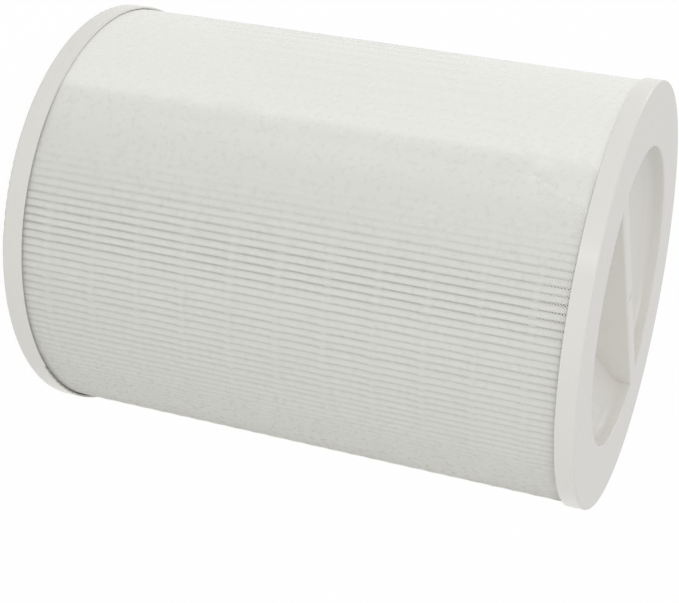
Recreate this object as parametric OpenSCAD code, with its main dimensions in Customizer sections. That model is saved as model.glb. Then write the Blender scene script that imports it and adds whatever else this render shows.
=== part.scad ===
// Cylindrical pleated filter cartridge of an air purifier.
// It stands on its outlet gasket: +Z runs up the cylinder's axis to the grip cap, and the
// origin is the centre of the gasket's sealing face. All sizes are in millimetres.

/* [Overall] */
// Outer diameter of both end mouldings
rim_d = 225; // [215:1:240]
// Length between the outer faces of the two end mouldings
face_to_face = 304; // [220:1:400]

/* [End mouldings] */
// Wall of both end mouldings
shell_wall = 2; // [1.6:0.1:2.6]
// Wall of the skirt that covers the edge of the net
skirt_wall = 1.2; // [1:0.1:1.6]
// Height of the grip cap's skirt, with the face
grip_skirt_h = 10; // [8:0.5:14]
// Height of the outlet ring's skirt, with the face
outlet_skirt_h = 11.5; // [9:0.5:16]
// Height of the inner spigots, with the face
spigot_h = 14; // [12:0.5:20]
// Depth of the adhesive in the channel of each moulding
potting_h = 3; // [2.5:0.5:4]
// Rounding of the grip cap's outer edge
grip_edge_r = 1; // [0.5:0.5:4]
// Rounding of the outlet ring's outer edge
outlet_edge_r = 2; // [1:0.5:3]

/* [Grip] */
// Depth of the straight wall of the hand recess
recess_wall_h = 8.6; // [6:0.2:10]
// Rounding of the recess's mouth
recess_edge_r = 1; // [0.5:0.5:2]
// Fillet between the recess's wall and its dished floor
recess_fillet_r = 5; // [2:0.5:6]
// Radius of curvature of the dished floor
dish_r = 166; // [140:2:220]
// Width of the grip bar that crosses the recess
bar_w = 10.5; // [9:0.5:16]
// Wall of the hollow grip bar
bar_wall = 2; // [1.6:0.1:2.6]
// Rounding of the grip bar's upper edges
bar_edge_r = 1.2; // [0.6:0.2:2]
// Diameter of the moulding gate's dimple in the middle of the bar
gate_d = 5; // [3:0.5:6]
// Depth of the moulding gate's dimple
gate_depth = 0.5; // [0.3:0.1:0.8]

/* [Outlet] */
// Rounding of the outlet's mouth
outlet_mouth_r = 1.5; // [0.5:0.5:2]
// Width of the gasket
gasket_w = 12; // [8:1:16]
// Thickness of the gasket
gasket_t = 4.5; // [3.5:0.5:7]
// Depth of the groove that the gasket sits in
gasket_groove = 1.5; // [0.5:0.5:2]

/* [Pleated pack] */
// Pleats round the pack
pleat_count = 172; // [120:2:190]
// Radial depth of the pleats; the layers inside them and the spigots follow
pleat_depth = 22.3; // [14:0.1:26]
// Thickness of the filter paper
media_t = 0.5; // [0.3:0.1:0.6]
// Width of an outer fold across its tip
fold_w = 1.9; // [1.2:0.1:2]
// Width of a pleat below its shoulders
pleat_w = 2.6; // [2.2:0.1:2.8]
// Depth of the shoulders, where a pleat reaches its full width and the glue beads end
shoulder_depth = 4; // [2:0.5:6]
// Width of an inner fold
inner_fold_w = 1.5; // [1.2:0.1:1.8]

/* [Glue beads] */
// Rows of glue beads, outside and inside
bead_count = 11; // [5:1:15]
// Height of a bead along the cylinder
bead_w = 3; // [1.5:0.1:4]
// Thickness of a bead over the tips of the folds
bead_skin = 0.25; // [0.1:0.05:0.4]
// From the outlet ring's outer face to the middle of the first row
bead_start = 24.1; // [18:0.1:30]
// From the middle of the last row to the grip cap's outer face
bead_end = 25.9; // [18:0.1:30]

/* [Net] */
// Thickness of the protective net
net_t = 0.5; // [0.3:0.1:0.8]
// Gap between the net and the skirts
net_gap = 0.4; // [0.35:0.05:0.8]
// Thickness that the second layer of net adds along the lap
lap_t = 0.3; // [0.1:0.05:0.3]
// Width of the lap where the net's two edges close over each other
lap_w = 130; // [10:1:160]
// Direction of the lap's middle, counted from the grip bar
lap_at = 149; // [0:1:359]

/* [Carbon layer and core] */
// Thickness of the carbon felt
carbon_t = 4; // [2:0.5:6]
// Wall of the core tube
core_wall = 2; // [1.5:0.1:3]
// Rows of windows along the core tube
window_rows = 11; // [6:1:14]
// Windows round the core tube
window_cols = 20; // [12:1:28]
// Width of the rings between the rows of windows
core_ring_w = 6; // [4:0.5:10]
// Width of the bars between neighbouring windows
core_bar_w = 5; // [3:0.5:8]

/* [Hidden] */
// Clearances: core on its spigots, gasket in its groove, layer to layer
core_fit = 0.3;
gasket_fit = 0.3;
layer_gap = 0.2;
// A small overlap that lets cuts run clean past a surface
over = 1;
$fn = 96;

// Heights along the axis
outlet_z = gasket_t - gasket_groove;
grip_z = outlet_z + face_to_face;
pack_h = face_to_face - 2 * (shell_wall + potting_h);
pack_z = outlet_z + shell_wall + potting_h;
bead_pitch = (face_to_face - bead_start - bead_end) / (bead_count - 1);

// The layers, from the rim inwards to the spigots that centre the core tube
rim_r = rim_d / 2;
net_outer_r = rim_r - skirt_wall - net_gap;
net_inner_r = net_outer_r - net_t;
pack_outer_r = net_inner_r - layer_gap - bead_skin;
pack_inner_r = pack_outer_r - pleat_depth;
carbon_r = pack_inner_r - bead_skin - layer_gap - carbon_t;
core_r = carbon_r - layer_gap - core_wall;
spigot_r = core_r - core_fit;
// The hand recess and the air outlet are the insides of the two spigots
recess_r = spigot_r - shell_wall;
outlet_r = spigot_r - shell_wall;
gasket_mid_r = (rim_r + outlet_r) / 2;

// The dish: its deepest point below the face, and the centre of its curve above the face
dish_depth = recess_wall_h + dish_r - sqrt(dish_r * dish_r - recess_r * recess_r);
dish_centre = dish_depth - dish_r;

function two_digits(n) = n < 10 ? str("0", n) : str(n);
function bead_name(side, n) = str(side, "_bead_", two_digits(n));

// ---- End mouldings: outlines in (radius, distance in from the outer face) ----

// What rounds a convex corner off: the corner's square without the round
module corner_cut(r) {
    difference() {
        square(r + over);
        circle(r);
    }
}

// The annular trough that both mouldings share, as if it were filled
module moulding_outline(bore_r, skirt_h, edge_r, mouth_r) {
    difference() {
        union() {
            translate([bore_r, 0]) square([rim_r - bore_r, skirt_h - skirt_wall / 2]);
            translate([rim_r - skirt_wall / 2, skirt_h - skirt_wall / 2]) circle(d = skirt_wall);
            translate([bore_r, 0]) square([spigot_r - bore_r, spigot_h]);
        }
        translate([rim_r - edge_r, edge_r]) rotate(-90) corner_cut(edge_r);
        translate([bore_r + mouth_r, mouth_r]) rotate(180) corner_cut(mouth_r);
    }
}

// The channel between skirt and spigot, up to a height; its outer corner follows the rounded edge
module channel_outline(edge_r, height) {
    corner_r = max(edge_r - shell_wall, 0.5);
    difference() {
        translate([spigot_r, shell_wall])
            square([rim_r - skirt_wall - spigot_r, height - shell_wall]);
        translate([rim_r - skirt_wall - corner_r, shell_wall + corner_r])
            rotate(-90) corner_cut(corner_r);
    }
}

// The back of the gasket's groove, which stands up in the outlet ring's channel
module groove_outline(margin, height) {
    half = gasket_w / 2 + gasket_fit + margin;
    translate([gasket_mid_r - half, -over]) square([2 * half, height + over]);
}

module outlet_channel(height) {
    difference() {
        channel_outline(outlet_edge_r, height);
        groove_outline(shell_wall, gasket_groove + shell_wall);
    }
}

// Turns an outline that is drawn inwards from the grip cap's face
module at_grip_face() {
    translate([0, 0, grip_z]) mirror([0, 0, 1]) children();
}

// ---- Grip cap ----

// The dished floor as one wall of even thickness
module dish_outline() {
    intersection() {
        translate([0, dish_centre]) difference() {
            circle(dish_r + shell_wall, $fn = 360);
            circle(dish_r, $fn = 360);
        }
        square([recess_r + shell_wall / 2, dish_depth + 2 * shell_wall]);
    }
}

// The fillet, which runs smoothly from the recess's wall into the floor
module recess_fillet_outline() {
    middle_r = recess_r - recess_fillet_r;
    middle_h = sqrt(pow(dish_r - recess_fillet_r, 2) - middle_r * middle_r);
    into_floor = (dish_r + shell_wall / 2) / (dish_r - recess_fillet_r);
    into_wall = recess_r + shell_wall / 2;
    translate([0, dish_centre]) difference() {
        polygon([
            [middle_r, middle_h], [into_wall, middle_h],
            [into_wall, recess_wall_h + shell_wall / 2 - dish_centre],
            into_floor * [middle_r, middle_h],
        ]);
        translate([middle_r, middle_h]) circle(recess_fillet_r);
    }
}

// Everything inside the recess, down into the floor, which the bar has to fill
module bowl_outline() {
    square([recess_r + recess_edge_r, shell_wall]);
    intersection() {
        translate([0, dish_centre]) circle(dish_r + shell_wall / 2, $fn = 360);
        square([recess_r + shell_wall / 2, dish_depth + shell_wall]);
    }
}

// The bar's section, with rounded upper edges, drawn down from the face
module bar_section(width, edge_r) {
    difference() {
        translate([-width / 2, 0]) square([width, dish_depth + 2 * shell_wall]);
        for (side = [0, 1]) mirror([side, 0])
            translate([width / 2 - edge_r, edge_r]) rotate(-90) corner_cut(edge_r);
    }
}

module bar_solid() {
    intersection() {
        rotate([90, 0, 90]) linear_extrude(2 * rim_r, center = true) bar_section(bar_w, bar_edge_r);
        rotate_extrude() bowl_outline();
    }
}

// The slot up the inside of the bar, open at the back of the dish
module bar_core() {
    slot_w = bar_w - 2 * bar_wall;
    intersection() {
        translate([-rim_r, -slot_w / 2, shell_wall]) cube([2 * rim_r, slot_w, dish_depth + 2 * shell_wall]);
        cylinder(r = recess_r, h = 2 * dish_depth);
    }
}

module grip_end_cap() {
    color("whitesmoke") at_grip_face() difference() {
        union() {
            rotate_extrude() {
                difference() {
                    moulding_outline(recess_r, grip_skirt_h, grip_edge_r, recess_edge_r);
                    channel_outline(grip_edge_r, spigot_h + over);
                }
                dish_outline();
                recess_fillet_outline();
            }
            bar_solid();
        }
        bar_core();
        translate([0, 0, -over]) cylinder(d = gate_d, h = over + gate_depth);
    }
}

// ---- Outlet ring and its gasket ----

module outlet_end_ring() {
    color("whitesmoke") translate([0, 0, outlet_z]) rotate_extrude() difference() {
        moulding_outline(outlet_r, outlet_skirt_h, outlet_edge_r, outlet_mouth_r);
        outlet_channel(spigot_h + over);
        groove_outline(0, gasket_groove);
    }
}

module outlet_gasket() {
    color("dimgray") rotate_extrude()
        translate([gasket_mid_r - gasket_w / 2, 0]) square([gasket_w, gasket_t]);
}

// ---- Potting: the adhesive in each channel, which holds the ends of all the layers ----

module grip_end_potting() {
    color("ivory") at_grip_face() rotate_extrude() channel_outline(grip_edge_r, shell_wall + potting_h);
}

module outlet_end_potting() {
    color("ivory") translate([0, 0, outlet_z]) rotate_extrude() outlet_channel(shell_wall + potting_h);
}

// ---- Pleated pack ----

pleat_angle = 360 / pleat_count;
// Slope of a pleat from its tip out to its shoulder
shoulder_slope = atan((pleat_w - fold_w) / 2 / shoulder_depth);
// How much narrower than the outer face the paper's inner face is at the tip, on each side
tip_inset = media_t * (1 - sin(shoulder_slope)) / cos(shoulder_slope);

function turned(x, y, a) = [x * cos(a) - y * sin(a), x * sin(a) + y * cos(a)];

// Outer end of pleat n on one face of the paper, which is inset by 0 or by the paper's thickness:
// shoulder, tip, tip, shoulder
function outer_end(n, inset) =
    let (
        a = n * pleat_angle,
        shoulder_at = pack_outer_r - shoulder_depth,
        tip_at = pack_outer_r - inset,
        shoulder = pleat_w / 2 - inset,
        tip = fold_w / 2 - tip_inset * inset / media_t
    )
    [turned(shoulder_at, -shoulder, a), turned(tip_at, -tip, a),
     turned(tip_at, tip, a), turned(shoulder_at, shoulder, a)];

// The two corners of the inner fold between pleats n and n + 1 on the same face
function inner_end(n, inset) =
    let (
        a = (n + 0.5) * pleat_angle,
        at = pack_inner_r + media_t - inset,
        half = inner_fold_w / 2 - media_t + inset
    )
    [turned(at, -half, a), turned(at, half, a)];

function paper_face(inset) =
    [for (n = [0 : pleat_count - 1]) each concat(outer_end(n, inset), inner_end(n, inset))];

module pleated_media() {
    outer_face = paper_face(0);
    inner_face = paper_face(media_t);
    count = len(outer_face);
    color("white") translate([0, 0, pack_z]) linear_extrude(pack_h)
        polygon(
            concat(outer_face, inner_face),
            [[for (k = [0 : count - 1]) k], [for (k = [0 : count - 1]) count + k]]
        );
}

// The pack's two ends are bonded together by a strip of adhesive down one valley
module pack_joint_strip() {
    flank = pack_outer_r - shoulder_depth - pack_inner_r - media_t;
    clear = layer_gap / flank;
    left = [outer_end(0, 0)[3], inner_end(0, 0)[0]];
    right = [outer_end(1, 0)[0], inner_end(0, 0)[1]];
    function down(side, share) = side[0] + share * (side[1] - side[0]);
    color("ivory") translate([0, 0, pack_z]) linear_extrude(pack_h)
        polygon([down(left, clear), down(right, clear), down(right, 1 - clear), down(left, 1 - clear)]);
}

// ---- Glue beads: outside they fill the mouths of the valleys and keep the pleats apart ----

module at_bead(n) {
    translate([0, 0, outlet_z + bead_start + (n - 1) * bead_pitch - bead_w / 2])
        linear_extrude(bead_w) children();
}

module outer_bead(n) {
    color("floralwhite") at_bead(n) difference() {
        circle(pack_outer_r + bead_skin, $fn = 360);
        polygon([for (k = [0 : pleat_count - 1]) each outer_end(k, 0)]);
    }
}

module inner_bead(n) {
    color("floralwhite") at_bead(n) difference() {
        circle(pack_inner_r, $fn = 360);
        circle(pack_inner_r - bead_skin, $fn = 360);
    }
}

// ---- Net, carbon layer and core ----

// A sleeve of net whose two edges lap over each other
module outer_net() {
    lap_half = asin(lap_w / 2 / net_outer_r);
    color("gainsboro") translate([0, 0, pack_z]) {
        linear_extrude(pack_h) difference() {
            union() {
                circle(net_outer_r);
                rotate(lap_at) intersection() {
                    circle(net_outer_r + lap_t);
                    polygon([[0, 0], rim_r * [1, -tan(lap_half)], rim_r * [1, tan(lap_half)]]);
                }
            }
            circle(net_inner_r);
        }
    }
}

module carbon_layer() {
    color("#2b2b2b") translate([0, 0, pack_z]) linear_extrude(pack_h) difference() {
        circle(carbon_r + carbon_t);
        circle(carbon_r);
    }
}

// A moulded lattice that keeps the layers from being drawn in
module core_tube() {
    row_pitch = (pack_h - core_ring_w) / window_rows;
    col_angle = 360 / window_cols;
    window_w = 2 * core_r * sin(col_angle / 2) - core_bar_w;
    color("white") translate([0, 0, pack_z]) difference() {
        linear_extrude(pack_h) difference() {
            circle(core_r + core_wall);
            circle(core_r);
        }
        for (row = [0 : window_rows - 1], col = [0 : window_cols - 1])
            rotate(col * col_angle)
                translate([core_r - over, -window_w / 2, core_ring_w + row * row_pitch])
                    cube([core_wall + 2 * over, window_w, row_pitch - core_ring_w]);
    }
}

grip_end_cap();
outlet_end_ring();
outlet_gasket();
grip_end_potting();
outlet_end_potting();
pleated_media();
pack_joint_strip();
outer_net();
carbon_layer();
core_tube();
for (n = [1 : bead_count]) outer_bead(n);
for (n = [1 : bead_count]) inner_bead(n);
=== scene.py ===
import math
import bpy
import numpy as np
from mathutils import Matrix, Vector


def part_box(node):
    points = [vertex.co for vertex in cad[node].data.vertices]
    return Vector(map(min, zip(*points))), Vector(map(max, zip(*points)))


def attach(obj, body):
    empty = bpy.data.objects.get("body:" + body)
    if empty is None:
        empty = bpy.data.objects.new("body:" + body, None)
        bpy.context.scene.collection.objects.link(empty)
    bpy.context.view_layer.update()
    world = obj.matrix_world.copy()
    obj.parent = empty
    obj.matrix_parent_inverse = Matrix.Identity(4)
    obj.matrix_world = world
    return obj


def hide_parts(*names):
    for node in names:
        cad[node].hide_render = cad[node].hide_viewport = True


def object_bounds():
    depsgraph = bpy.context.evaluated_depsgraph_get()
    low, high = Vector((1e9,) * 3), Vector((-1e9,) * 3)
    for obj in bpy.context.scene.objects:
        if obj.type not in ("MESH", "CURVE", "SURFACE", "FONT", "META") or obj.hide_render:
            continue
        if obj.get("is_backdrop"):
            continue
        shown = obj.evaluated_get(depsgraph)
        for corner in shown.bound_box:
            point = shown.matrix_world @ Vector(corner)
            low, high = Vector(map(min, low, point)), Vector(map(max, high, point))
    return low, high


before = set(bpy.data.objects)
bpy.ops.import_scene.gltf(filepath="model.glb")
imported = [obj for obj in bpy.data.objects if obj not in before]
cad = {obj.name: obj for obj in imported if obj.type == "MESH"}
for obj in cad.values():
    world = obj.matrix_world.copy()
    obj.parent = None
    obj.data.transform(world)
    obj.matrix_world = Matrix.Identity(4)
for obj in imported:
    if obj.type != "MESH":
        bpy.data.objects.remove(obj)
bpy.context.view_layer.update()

# ---- Core tube ----
# A lattice tube of white polypropylene, moulded in one piece, that keeps the layers round it
# from being drawn into the fan. It stands between the two spigots and shows through the open end.

MM = 0.001


class Term:
    """A socket that joins in sums: each operator adds the Math node that it stands for."""

    def __init__(self, finish, socket):
        self.finish = finish
        self.socket = socket

    def maths(self, operation, *values):
        return self.finish.node("Math", {"operation": operation}, dict(enumerate(values)))

    def __add__(self, other):
        return self.maths("ADD", self, other)

    def __mul__(self, other):
        return self.maths("MULTIPLY", self, other)

    __radd__ = __add__
    __rmul__ = __mul__


class Finish:
    """A material on one Principled shader. What is the same all over is set on the shader itself."""

    def __init__(self, name, **constants):
        self.material = bpy.data.materials.new(name)
        self.material.use_nodes = True
        self.tree = self.material.node_tree
        self.shader = self.tree.nodes["Principled BSDF"]
        self.wear(**constants)

    def set(self, socket, value):
        if isinstance(value, Term):
            self.tree.links.new(value.socket, socket)
        else:
            socket.default_value = value

    def node(self, kind, settings=None, inputs=None, output=0):
        """A node of that kind, with its settings made first and then its sockets set or linked."""
        made = self.tree.nodes.new("ShaderNode" + kind)
        for setting, value in (settings or {}).items():
            setattr(made, setting, value)
        for socket, value in (inputs or {}).items():
            self.set(made.inputs[socket], value)
        return Term(self, made.outputs[output])

    def place(self, stretch=(1, 1, 1)):
        """Where a point is on the part, in metres, with each axis stretched."""
        here = self.node("TexCoord", output="Object")
        return self.node("VectorMath", {"operation": "MULTIPLY"}, {0: here, 1: stretch})

    def noise(self, grain, detail=3.0, stretch=(1, 1, 1)):
        """Cloudy noise from 0 to 1 whose patches are about one grain across, in metres."""
        place = self.place(stretch)
        return self.node("TexNoise", {}, {"Vector": place, "Scale": 1 / grain, "Detail": detail})

    def cells(self, size):
        """Distance from the nearest of many scattered points, which are about one size apart."""
        return self.node("TexVoronoi", {}, {"Vector": self.place(), "Scale": 1 / size}, "Distance")

    def between(self, value, low, high, to_low=0.0, to_high=1.0):
        """value from low to high carried over to to_low to to_high, and held beyond."""
        ends = {"Value": value, 1: low, 2: high, 3: to_low, 4: to_high}
        return self.node("MapRange", {"interpolation_type": "SMOOTHSTEP"}, ends)

    def blend(self, first, second, share):
        """One colour going over into the other as share goes from 0 to 1."""
        return self.node("Mix", {"data_type": "RGBA"}, {0: share, 6: first, 7: second}, output=2)

    def relief(self, height, depth):
        """The surface's normal over a height from 0 to 1 that is so many metres deep."""
        return self.node("Bump", {}, {"Height": height, "Distance": depth, "Strength": 1.0})

    def wear(self, **sockets):
        """Sets or links sockets of the shader; a name's underscores stand for spaces."""
        for socket, value in sockets.items():
            self.set(self.shader.inputs[socket.replace("_", " ")], value)

    def cover(self, piece, slot):
        """Puts the finish on a piece; slot is not used."""
        piece.data.materials.clear()
        piece.data.materials.append(self.material)


def shade(red, green, blue):
    """A colour for a shader from the red, green and blue of a colour chart, 0 to 255."""
    chart = [level / 255 for level in (red, green, blue)]
    linear = [((level + 0.055) / 1.055) ** 2.4 if level > 0.04 else level / 12.92 for level in chart]
    return (*linear, 1.0)


polypropylene = Finish("polypropylene", IOR=1.49)
flow = polypropylene.noise(30 * MM, 4.0, (1, 1, 0.3))
grain = polypropylene.noise(0.6 * MM)
polypropylene.wear(
    Base_Color=polypropylene.blend(shade(226, 225, 220), shade(236, 235, 231), flow),
    Roughness=polypropylene.between(grain, 0.3, 0.7, 0.42, 0.52),
    Normal=polypropylene.relief(grain, 0.03 * MM),
)
polypropylene.cover(cad["core_tube"], "core_plastic")

# ---- Carbon layer ----
# A sleeve of felt filled with carbon grains, wrapped round the core tube as the odour stage.
# It is soft, so it bellies a little way into the windows of the core tube, where it shows.

CORE_ROWS = 11
CORE_COLUMNS = 20
CORE_RING = 6 * MM
CORE_BAR = 5 * MM
LAYER_GAP = 0.2 * MM
FELT_BELLY = 0.9 * MM
POINTS_ACROSS_WINDOW = 14
POINTS_UP_WINDOW = 12


def ring_points(radius, angle, height):
    """Points at a radius, an angle round the axis and a height, which broadcast together."""
    radius, angle, height = np.broadcast_arrays(radius, angle, height)
    return np.stack([radius * np.cos(angle), radius * np.sin(angle), height], axis=-1)


def surface(name, *grids):
    """A mesh of quads over grids of points. A grid is its points, shaped (strips, rows, columns, 3),
    and whether its rows and its columns close on themselves."""
    points = []
    quads = []
    start = 0
    for grid, rows_close, columns_close in grids:
        number = start + np.arange(grid[..., 0].size).reshape(grid.shape[:3])
        start += number.size
        if rows_close:
            number = np.concatenate([number, number[:, :1]], axis=1)
        if columns_close:
            number = np.concatenate([number, number[:, :, :1]], axis=2)
        corners = [number[:, :-1, :-1], number[:, :-1, 1:], number[:, 1:, 1:], number[:, 1:, :-1]]
        points.append(grid.reshape(-1, 3))
        quads.append(np.stack(corners, axis=-1).reshape(-1, 4))
    mesh = bpy.data.meshes.new(name)
    mesh.from_pydata(np.concatenate(points), [], np.concatenate(quads))
    mesh.shade_smooth()
    made = bpy.data.objects.new(name, mesh)
    bpy.context.scene.collection.objects.link(made)
    return made


def fit(piece, finish, slot, node):
    """Puts a finished piece on the part in the place of a node."""
    finish.cover(piece, slot)
    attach(piece, "root")
    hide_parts(node)


felt_low, felt_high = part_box("carbon_layer")
core_low, core_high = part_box("core_tube")
felt_outer = felt_high.y
felt_inner = core_high.y + LAYER_GAP
row_pitch = (core_high.z - core_low.z - CORE_RING) / CORE_ROWS
column_pitch = math.tau / CORE_COLUMNS
window_width = column_pitch * core_high.y - CORE_BAR
window_height = row_pitch - CORE_RING
around = np.arange(CORE_COLUMNS * POINTS_ACROSS_WINDOW) * column_pitch / POINTS_ACROSS_WINDOW
up = np.linspace(felt_low.z, felt_high.z, CORE_ROWS * POINTS_UP_WINDOW + 1)
across_window = (np.mod(around + column_pitch / 2, column_pitch) - column_pitch / 2) * felt_inner
up_window = np.mod(up - core_low.z - CORE_RING, row_pitch) - window_height / 2
belly_across = np.clip(1 - (2 * across_window / window_width) ** 2, 0, 1)
belly_up = np.clip(1 - (2 * up_window / window_height) ** 2, 0, 1)
belly = FELT_BELLY * np.sqrt(belly_up[:, None] * belly_across)
inner_side = ring_points(felt_inner - belly, around, up[:, None])
outer_side = ring_points(felt_outer, around, up[::-1, None])
felt = surface("carbon_felt_sleeve", (np.concatenate([outer_side, inner_side])[None], True, True))

carbon = Finish("carbon_felt", Roughness=0.9, Specular_IOR_Level=0.3)
grains = carbon.cells(1.1 * MM)
fibres = carbon.noise(1.2 * MM, 6.0, (1, 1, 0.4))
# Where the grains shine they are given a lighter colour, which is a painted glint, as well as a lower
# roughness, which is real gloss.
painted_glint_and_gloss = carbon.between(carbon.noise(0.9 * MM, 1.0), 0.62, 0.7)
carbon.wear(
    Base_Color=carbon.blend(shade(34, 34, 36), shade(78, 78, 80), fibres * painted_glint_and_gloss),
    Roughness=carbon.between(painted_glint_and_gloss, 0.0, 1.0, 0.95, 0.45),
    Normal=carbon.relief(grains * 0.7 + fibres * 0.3, 0.5 * MM),
)
fit(felt, carbon, "carbon_felt", "carbon_layer")

# ---- Pleated pack ----
# One long sheet of melt-blown fleece on a stiff carrier, folded into 172 deep pleats and bent
# round into a ring. Glue beads fix every fold at 11 heights; between them the tips stray a little.

PLEATS = 172
BEAD_ROWS = 11
PAPER = 0.5 * MM
# Half of a pleat's section: depth below its tip, and how far its side lies from its middle
TIP_PROFILE = np.array([[0.0, 0.0], [0.07, 0.6], [0.3, 1.1], [0.75, 1.42], [1.6, 1.6], [4.0, 1.66]]) * MM
VALLEY_HALF = 0.2 * MM
STEPS_PER_SPAN = 3
SEED = 26
# How far the folds stray: each pleat as a whole, at the beads, and freely between two beads
PLEAT_STRAY = 0.10 * MM
BEAD_STRAY = 0.05 * MM
FREE_STRAY = 0.09 * MM
TIP_DROP = 0.10 * MM
BREADTH_STRAY = 0.05
# The valleys' feet sway only this share of what the tips do
FOOT_SWAY = 0.15
# On one side the pleats are fuller by a share, so that their tips lie closer together. The other
# values are degrees round the axis
FULL_SIDE = 170
FULL_HALF = 40
FULL_EASE = 9
FULL_BREADTH = 0.11

pack_low, pack_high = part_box("pleated_media")
pack_outer = pack_high.y
pack_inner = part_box("inner_bead_01")[1].y
bead_boxes = [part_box(f"outer_bead_{row:02d}") for row in range(1, BEAD_ROWS + 1)]
bead_middles = np.array([(low.z + high.z) / 2 for low, high in bead_boxes])
pleat_pitch = math.tau / PLEATS
pleat_angles = np.arange(PLEATS) * pleat_pitch
random = np.random.default_rng(SEED)
pleat_stray = random.normal(0, PLEAT_STRAY, PLEATS)
bead_stray = random.normal(0, BEAD_STRAY, (BEAD_ROWS + 2, PLEATS))
sway = random.normal(0, FREE_STRAY, (2, BEAD_ROWS + 1, PLEATS))
tip_drop = np.abs(random.normal(0, TIP_DROP, PLEATS))
from_full_side = np.abs(np.mod(np.degrees(pleat_angles) - FULL_SIDE + 180, 360) - 180)
fuller = np.clip((FULL_HALF - from_full_side) / FULL_EASE, 0, 1)
tip_breadth = random.normal(1.0, BREADTH_STRAY, PLEATS) + FULL_BREADTH * fuller
fixed_heights = np.concatenate([[pack_low.z], bead_middles, [pack_high.z]])


def pleat_lines(height):
    """For each height: how far every pleat's middle strays sideways, and how far its tip lies in."""
    span = np.clip(np.searchsorted(fixed_heights, height, side="right") - 1, 0, BEAD_ROWS)
    share = (height - fixed_heights[span]) / (fixed_heights[span + 1] - fixed_heights[span])
    share = share[:, None]
    free = np.sin(math.pi * share)
    held = bead_stray[span] + (bead_stray[span + 1] - bead_stray[span]) * share
    aside = pleat_stray + held + free * sway[0, span]
    inwards = tip_drop + free * np.abs(sway[1, span])
    return aside, inwards


inner_half = math.pi * (pack_inner + PAPER) / PLEATS - VALLEY_HALF
half_section = np.concatenate([TIP_PROFILE, [[pack_outer - pack_inner - PAPER, inner_half]]])
section_depth = np.concatenate([half_section[:0:-1, 0], half_section[:, 0]])
section_aside = np.concatenate([-half_section[:0:-1, 1], half_section[:, 1]])
spans = zip(fixed_heights[:-1], fixed_heights[1:])
span_heights = [np.linspace(low, high, STEPS_PER_SPAN, endpoint=False) for low, high in spans]
sheet_heights = np.concatenate([*span_heights, [pack_high.z]])
aside, inwards = pleat_lines(sheet_heights)
near_tip = np.clip(1 - section_depth / TIP_PROFILE[-1, 0], 0, 1)
sheet_radius = pack_outer - section_depth - inwards[:, :, None] * near_tip
breadth = 1 + (tip_breadth[:, None] - 1) * near_tip
sheet_aside = section_aside * breadth + aside[:, :, None] * (FOOT_SWAY + (1 - FOOT_SWAY) * near_tip)
sheet_angle = pleat_angles[:, None] + sheet_aside / sheet_radius
one_row_each = (len(sheet_heights), -1)
pleat_points = ring_points(
    sheet_radius.reshape(one_row_each),
    sheet_angle.reshape(one_row_each),
    sheet_heights[:, None],
)
pleats = surface("pleated_sheet", (pleat_points[None], False, True))

fleece = Finish("filter_fleece", Specular_IOR_Level=0.2, Subsurface_Weight=1.0, Subsurface_Scale=2 * MM)
fleece.wear(Subsurface_Radius=(1.0, 1.0, 1.0))
cloud = fleece.noise(20 * MM)
fibre = fleece.noise(0.4 * MM, 4.0, (1, 1, 0.35))
fleece.wear(
    Base_Color=fleece.blend(shade(247, 246, 239), shade(252, 251, 246), cloud * 0.6 + fibre * 0.4),
    Roughness=fleece.between(fibre, 0.3, 0.7, 0.8, 0.95),
    Normal=fleece.relief(fibre, 0.06 * MM),
)
fit(pleats, fleece, "filter_paper", "pleated_media")

# ---- Glue inside the pack ----
# Off-white hot melt: the beads over the inner folds and the strip that bonds the pack's two ends.
# The adhesive in the two channels is cast polyurethane, poured in and cured with the ends in it.

hot_melt = Finish("hot_melt", IOR=1.48)
waxy = hot_melt.noise(4 * MM)
hot_melt.wear(
    Base_Color=hot_melt.blend(shade(250, 249, 244), shade(253, 252, 249), waxy),
    Roughness=hot_melt.between(waxy, 0.3, 0.7, 0.38, 0.6),
    Normal=hot_melt.relief(waxy, 0.12 * MM),
)
for node in ["pack_joint_strip"] + [f"inner_bead_{row:02d}" for row in range(1, BEAD_ROWS + 1)]:
    hot_melt.cover(cad[node], "hot_melt")

polyurethane = Finish("cast_polyurethane", IOR=1.5)
# The pits in the cast surface are coloured darker, a painted shade in them, besides their real relief
# and roughness.
pits_with_painted_shade = polyurethane.between(polyurethane.cells(3.8 * MM), 0.05, 0.3)
polyurethane.wear(
    Base_Color=polyurethane.blend(shade(214, 208, 188), shade(226, 222, 206), pits_with_painted_shade),
    Roughness=polyurethane.between(pits_with_painted_shade, 0.0, 1.0, 0.55, 0.35),
    Normal=polyurethane.relief(pits_with_painted_shade, 0.3 * MM),
)
for node in ["grip_end_potting", "outlet_end_potting"]:
    polyurethane.cover(cad[node], "potting")

# ---- Outer glue beads ----
# Threads of hot melt laid on the sheet before it is folded. On the ring each one lies over the
# tips and fills the mouth of every valley, so the folds keep their distance.

BEAD_HALF = 1.6 * MM
BEAD_ROUND = 0.45 * MM
BEAD_OVER = 0.2 * MM
BEAD_UNDER = 0.1 * MM
TOOTH_DEPTH = 5.0 * MM
WANDER = 0.18 * MM
# In a valley's middle: how far the bead's outer face dips, and by how much its tooth falls short
MOUTH_DIP = (0.1 * MM, 0.9 * MM)
TOOTH_SHORT = (0.0, 1.2 * MM)
# A bead's breadth varies by this share, in step with the wander of a place so many columns away
BREADTH_SHARE = 0.2
BREADTH_SHIFT = 37
COLUMNS_OVER_TIP = [-1.0, -0.8, -0.5, 0.0, 0.5, 0.8, 1.0]
OUTER_CORNER = np.radians([0, 30, 60, 90])
INNER_CORNER = np.radians([90, 180])


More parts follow.
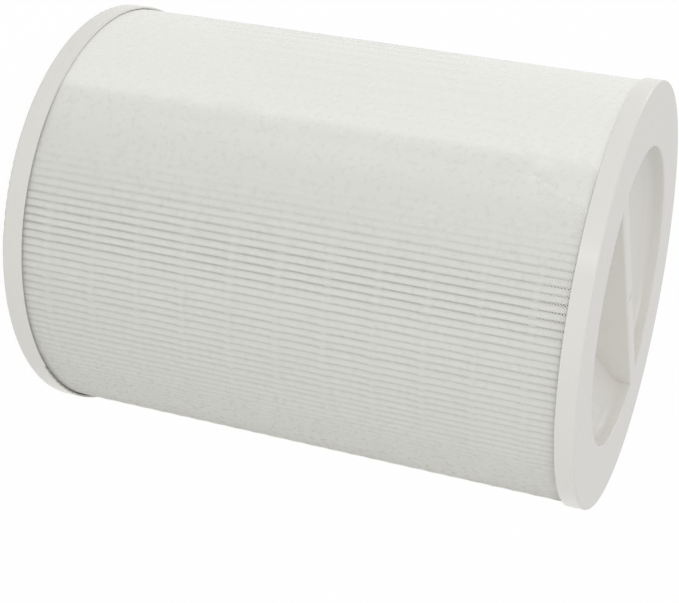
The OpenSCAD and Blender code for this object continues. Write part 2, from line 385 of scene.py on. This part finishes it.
def slow_wander(per_pleat):
    """A bead's wandering along the cylinder, smooth from pleat to pleat and closed on itself."""
    steps = np.repeat(random.normal(0, WANDER, PLEATS), per_pleat)
    weights = np.hanning(2 * per_pleat + 1)
    margin = 2 * per_pleat
    wrapped = np.concatenate([steps[-margin:], steps, steps[:margin]])
    return np.convolve(wrapped, weights / weights.sum(), mode="same")[margin:-margin]


def glue_bead(name, middle):
    """One bead as a closed ring: a thin bar over each tip, with a deep tooth in each valley."""
    aside, inwards = (lines[0] for lines in pleat_lines(np.array([middle])))
    shoulder = TIP_PROFILE[-2, 1]
    angles = []
    outers = []
    inners = []
    for column in COLUMNS_OVER_TIP:
        depth = np.interp(abs(column) * shoulder, TIP_PROFILE[:, 1], TIP_PROFILE[:, 0])
        paper = pack_outer - inwards - depth
        in_valley = abs(column) == 1.0
        angles.append(pleat_angles + (column * shoulder * tip_breadth + aside) / pack_outer)
        outers.append(np.minimum(paper + BEAD_OVER, pack_outer + BEAD_OVER))
        inners.append(paper - (TOOTH_DEPTH if in_valley else BEAD_UNDER))
    tip_angle = pleat_angles + aside / pack_outer
    next_tip = np.append(tip_angle[1:], tip_angle[0] + math.tau)
    angles.append((tip_angle + next_tip) / 2)
    outers.append(pack_outer - random.uniform(*MOUTH_DIP, PLEATS))
    inners.append(pack_outer - TOOTH_DEPTH + random.uniform(*TOOTH_SHORT, PLEATS))
    angle, outer, inner = (np.stack(columns, axis=1).ravel() for columns in (angles, outers, inners))
    wander = slow_wander(len(angles))
    half = BEAD_HALF * (1 + BREADTH_SHARE * np.roll(wander, BREADTH_SHIFT) / WANDER)
    edge = np.minimum(BEAD_ROUND, (outer - inner) / 2)
    section = [
        (centre + edge * math.cos(turn), half - edge + edge * math.sin(turn))
        for centre, corner in ((outer - edge, OUTER_CORNER), (inner + edge, INNER_CORNER))
        for turn in corner
    ]
    section += [(radius, -along) for radius, along in section[::-1]]
    grid = np.stack([ring_points(radius, angle, middle + wander + along) for radius, along in section])
    return surface(name, (grid[None], True, True))


for row, middle in enumerate(bead_middles, start=1):
    fit(glue_bead(f"outer_glue_bead_{row:02d}", middle), hot_melt, "hot_melt", f"outer_bead_{row:02d}")

# ---- Protective net ----
# Fine white nylon net with slanting threads, drawn round the pack as a sleeve. Its two edges lap
# widely over each other and are ironed together. Beside the grip cap the net is slack, with folds.

THREAD_WIDTH = 0.32 * MM
THREAD_DEPTH = 0.13 * MM
MESH_PITCH = 1.1 * MM
THREAD_LIFT = 0.1 * MM
LAP_WIDTH = 155 * MM
LAP_MIDDLE = math.radians(156)
LAP_RISE = 0.3 * MM
# Ironing flattens the outermost threads until they touch, less and less towards the lap's edges,
# and beside the lap it widens the threads of the single layer
IRONED_LEAST = 0.15
IRONED_FADE = 26 * MM
BESIDE_WIDTH = 0.72 * MM
BESIDE_REACH = math.radians(24)
LAP_STEP = math.radians(5)
NET_WALL = 0.5 * MM
PLAIN_STEP = math.radians(6)
# The slack patch: its reach below the net's top end, its two sides in degrees round the axis and
# how gently it rises there, and the sides between which threads are drawn in short steps for it
SLACK_FROM = 42 * MM
SLACK_RISE = 10 * MM
SLACK_SIDES = (176, 226)
SLACK_EASES = (8, 12)
SLACK_THREADS = (150, 255)
SLACK_STEP = 2 * MM
SLACK_LIFT = 0.8 * MM
# The cap's skirt covers so much of the net and presses it flat over the next few millimetres
SKIRT_COVER = 5 * MM
SKIRT_PRESS = 3 * MM
FOLD_LIFT = 0.8 * MM
FOLD_HALF = 1.2 * MM
# Each fold runs straight from one place to another: degrees round the axis, height in millimetres
FOLDS = [
    ((190, 270), (196, 297)),
    ((200, 270), (211, 281)),
    ((211, 281), (220, 297)),
]

net_low, net_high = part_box("outer_net")
net_radius = net_high.y - NET_WALL / 2
net_length = net_high.z - net_low.z
skirt_foot = net_high.z - SKIRT_COVER


def stand_off(angle, height):
    """How far the net stands off the pleats there, which it does only beside the grip cap."""
    degrees = np.degrees(angle) % 360
    arc = net_radius * math.radians(1)
    place = np.stack([degrees * arc, height], axis=-1)
    ridge = np.zeros_like(height)
    for (first_angle, first_height), (last_angle, last_height) in FOLDS:
        first = np.array([first_angle * arc, first_height * MM])
        along = np.array([last_angle * arc, last_height * MM]) - first
        share = np.clip((place - first) @ along / (along @ along), 0, 1)
        distance = np.linalg.norm(place - first - share[..., None] * along, axis=-1)
        ridge = np.maximum(ridge, np.exp(-(distance / FOLD_HALF) ** 2))
    from_start = np.clip((degrees - SLACK_SIDES[0]) / SLACK_EASES[0], 0, 1)
    from_end = np.clip((SLACK_SIDES[1] - degrees) / SLACK_EASES[1], 0, 1)
    from_foot = np.clip((SLACK_FROM - net_high.z + height) / SLACK_RISE, 0, 1)
    from_cap = np.clip((skirt_foot - height) / SKIRT_PRESS, 0, 1)
    return from_cap * (SLACK_LIFT * from_start * from_end * from_foot + FOLD_LIFT * ridge)


def threads(slant, start, low, high, radius, shares, width):
    """Threads that wind round the pack: each from its own low to its own high, as three-sided
    strands with one flat side outward. slant is 1 or -1, start the angle at the net's foot."""
    height = net_low.z + low[:, None] + (high - low)[:, None] * shares
    angle = start[:, None] + slant * (height - net_low.z) / net_radius
    middle = ring_points(radius + stand_off(angle, height), angle, height)
    outward = ring_points(1.0, angle, 0.0 * height)
    sideways = ring_points(math.sqrt(0.5), angle + math.pi / 2, 0.0 * height)
    sideways[..., 2] = -slant * math.sqrt(0.5)
    to_edge = sideways * width[..., None] / 2
    corners = [
        middle + outward * THREAD_DEPTH / 2 + to_edge,
        middle + outward * THREAD_DEPTH / 2 - to_edge,
        middle - outward * THREAD_DEPTH / 2,
    ]
    return (np.stack(corners[::-slant], axis=1), True, False)


per_family = round(math.tau * net_radius * math.sqrt(0.5) / MESH_PITCH)
thread_gap = math.tau / per_family
starts = np.arange(per_family) * thread_gap
turn = net_length / net_radius
plain_shares = np.linspace(0, 1, math.ceil(turn / PLAIN_STEP) + 1)
slack_share = 1 - SLACK_FROM / net_length
slack_shares = np.append(
    plain_shares[plain_shares < slack_share],
    np.linspace(slack_share, 1, math.ceil(SLACK_FROM / SLACK_STEP) + 1),
)
lap_half = LAP_WIDTH / 2 / net_radius
net_grids = []
for slant in (1, -1):
    radius = net_radius + slant * THREAD_LIFT
    top_degrees = np.degrees(starts + slant * turn) % 360
    slack = (top_degrees > SLACK_THREADS[0]) & (top_degrees < SLACK_THREADS[1])
    for chosen, shares in ((slack, slack_shares), (~slack, plain_shares)):
        whole = np.full(chosen.sum(), net_length)
        angle = starts[chosen, None] + slant * turn * shares
        from_middle = abs(np.mod(angle - LAP_MIDDLE + math.pi, math.tau) - math.pi)
        beside = np.clip(1 - abs(from_middle - lap_half) / BESIDE_REACH, 0, 1)
        width = THREAD_WIDTH + (BESIDE_WIDTH - THREAD_WIDTH) * beside
        net_grids.append(threads(slant, starts[chosen], 0 * whole, whole, radius, shares, width))

# The lap's outer layer, of which only the outermost threads are drawn, those of one slant. They run
# from one edge of the lap to the other.
lap_shares = np.linspace(0, 1, math.ceil(2 * lap_half / LAP_STEP) + 1)
to_middle = np.mod(LAP_MIDDLE - starts + lap_half, math.tau) - lap_half
low = np.clip((to_middle - lap_half) * net_radius, 0, net_length)
high = np.clip((to_middle + lap_half) * net_radius, 0, net_length)
lapped = high - low > MESH_PITCH
from_low = low[:, None] + (high - low)[:, None] * lap_shares
from_edge = lap_half * net_radius - abs(from_low - to_middle[:, None] * net_radius)
width = MESH_PITCH * np.clip(from_edge[lapped] / IRONED_FADE, IRONED_LEAST, 1)
ironed = (starts[lapped] + thread_gap / 2, low[lapped], high[lapped])
net_grids.append(threads(1, *ironed, net_radius + THREAD_LIFT + LAP_RISE, lap_shares, width))
net = surface("net_sleeve", *net_grids)
net.data.shade_flat()
nylon = Finish("nylon_net", IOR=1.53)
# Patches of lighter colour stand for the sheen of the threads, a painted sheen; the same patches are
# also rougher.
painted_sheen_and_roughness = nylon.noise(3 * MM)
nylon.wear(
    Base_Color=nylon.blend(shade(243, 243, 238), shade(248, 248, 243), painted_sheen_and_roughness),
    Roughness=nylon.between(painted_sheen_and_roughness, 0.3, 0.7, 0.25, 0.4),
)
fit(net, nylon, "outer_net", "outer_net")

# ---- Outlet ring and grip cap ----
# Two mouldings of white ABS, satin from a finely eroded tool. The pack's ends are potted into
# their channels. The grip cap has the hand recess with its finger bar.

satin = Finish("satin_abs", IOR=1.52)
speckle = satin.noise(0.5 * MM, 2.0)
draw = satin.noise(50 * MM)
satin.wear(
    Base_Color=satin.blend(shade(231, 229, 224), shade(236, 234, 229), draw),
    Roughness=satin.between(draw + speckle * 0.3, 0.4, 0.9, 0.2, 0.28),
    Normal=satin.relief(speckle * 0.7 + draw * 0.3, 0.012 * MM),
)
satin.cover(cad["grip_end_cap"], "cap_plastic")
satin.cover(cad["outlet_end_ring"], "ring_plastic")

# ---- Gasket ----
# A ring of closed-cell foam rubber pressed into the groove of the outlet ring. It seals the open
# end against the fan's inlet. Its edges are rounded and its skin shows the cells.

GASKET_WIDTH = 12 * MM
GASKET_ROUND = 1.2 * MM
GASKET_PARTS = 240
POINTS_PER_ROUND = 5
gasket_low, gasket_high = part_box("outlet_gasket")
gasket_middle = gasket_high.y - GASKET_WIDTH / 2
flat_half = GASKET_WIDTH / 2 - GASKET_ROUND
corner_middles = [
    (gasket_middle + flat_half, gasket_high.z - GASKET_ROUND),
    (gasket_middle - flat_half, gasket_high.z - GASKET_ROUND),
    (gasket_middle - flat_half, gasket_low.z + GASKET_ROUND),
    (gasket_middle + flat_half, gasket_low.z + GASKET_ROUND),
]
gasket_outline = [
    (radius + GASKET_ROUND * math.cos(turn), height + GASKET_ROUND * math.sin(turn))
    for quarter, (radius, height) in enumerate(corner_middles)
    for turn in np.radians(90 * quarter + np.linspace(0, 90, POINTS_PER_ROUND))
]
gasket_angles = np.arange(GASKET_PARTS) * math.tau / GASKET_PARTS
gasket_rings = [ring_points(radius, gasket_angles, height) for radius, height in gasket_outline[::-1]]
gasket = surface("foam_gasket", (np.stack(gasket_rings)[None], True, True))
foam = Finish("closed_cell_foam", Specular_IOR_Level=0.3)
bloom = foam.noise(12 * MM)
foam.wear(
    Base_Color=foam.blend(shade(58, 58, 60), shade(84, 84, 86), bloom),
    Roughness=foam.between(bloom, 0.3, 0.7, 0.75, 0.95),
    Normal=foam.relief(foam.cells(0.7 * MM), 0.12 * MM),
)
fit(gasket, foam, "gasket_foam", "outlet_gasket")

# ---- Studio ----
# A pale floor under the open end, soft light from all round and four softboxes. The camera looks
# down across the cylinder from beside the grip cap, and is turned on its side.

FLOOR_HALF = 8.0
FLOOR_SHINE = 0.975
WORLD = 0.705
HALFWAY_UP = (0, 0, 0.15)
LARGE = (1.4, 1.4)
SMALL = (0.6, 0.6)
SPOT = (0.12, 0.12)
floor_corners = np.array([[[[x, y, 0.0] for x in (-1, 1)] for y in (-1, 1)]]) * FLOOR_HALF
floor = surface("floor", (floor_corners, False, False))
floor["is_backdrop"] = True
seamless = Finish("seamless_paper", Roughness=0.9, Base_Color=shade(250, 250, 249))
glow = seamless.node("Emission", {}, {"Color": (1, 1, 1, 1), "Strength": 1.0})
seen = seamless.node("LightPath", output="Is Camera Ray")
mirrored = seamless.node("LightPath", output="Is Glossy Ray")
through = seamless.node("LightPath", output="Is Transmission Ray")
paper_side = Term(seamless, seamless.shader.outputs[0])
shine = (seen + mirrored + through) * FLOOR_SHINE
shown = seamless.node("MixShader", {}, {0: shine, 1: paper_side, 2: glow})
seamless.set(seamless.tree.nodes["Material Output"].inputs["Surface"], shown)
floor.data.materials.append(seamless.material)

world = bpy.data.worlds.new("even_light")
world.use_nodes = True
bpy.context.scene.world = world
backdrop = world.node_tree.nodes["Background"]
backdrop.inputs["Color"].default_value = (1, 1, 1, 1)
backdrop.inputs["Strength"].default_value = WORLD


def softbox(name, place, target, size, power, tint):
    """A rectangular lamp that faces its target."""
    light = bpy.data.lights.new(name, "AREA")
    light.shape = "RECTANGLE"
    light.size, light.size_y = size
    light.energy = power
    light.color = tint
    stand = bpy.data.objects.new(name, light)
    bpy.context.scene.collection.objects.link(stand)
    stand.location = place
    stand.rotation_mode = "QUATERNION"
    stand.rotation_quaternion = (Vector(target) - Vector(place)).to_track_quat("-Z", "Y")


softbox("side_box", (-0.1, 2.3, 0.75), HALFWAY_UP, LARGE, 6.5, (1.0, 0.98, 0.92))
softbox("front_box", (-2.1, -0.44, 1.22), HALFWAY_UP, SMALL, 2.5, (1.0, 0.99, 0.96))
softbox("high_box", (-1.71, -1.14, 1.39), HALFWAY_UP, LARGE, 5.5, (1.0, 0.99, 0.97))
softbox("low_box", (-1.45, -0.46, 0.05), (-0.1, -0.05, 0.3), SPOT, 0.5, (0.78, 0.9, 1.0))

eye = Vector((-0.6744, -0.4499, 0.4303))
forward = Vector((0.8122, 0.5065, -0.2899))
above = Vector((-0.5662, 0.8042, -0.1814))
camera = bpy.data.objects.new("camera", bpy.data.cameras.new("camera"))
bpy.context.scene.collection.objects.link(camera)
camera_axes = Matrix((forward.cross(above), above, -forward)).transposed()
camera.matrix_world = Matrix.Translation(eye) @ camera_axes.to_4x4()
camera.data.lens = 82.9
camera.data.sensor_width = 36.0
camera.data.shift_x = -0.0892
bpy.context.scene.camera = camera
bpy.context.scene.view_settings.view_transform = "Standard"

low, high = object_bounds()
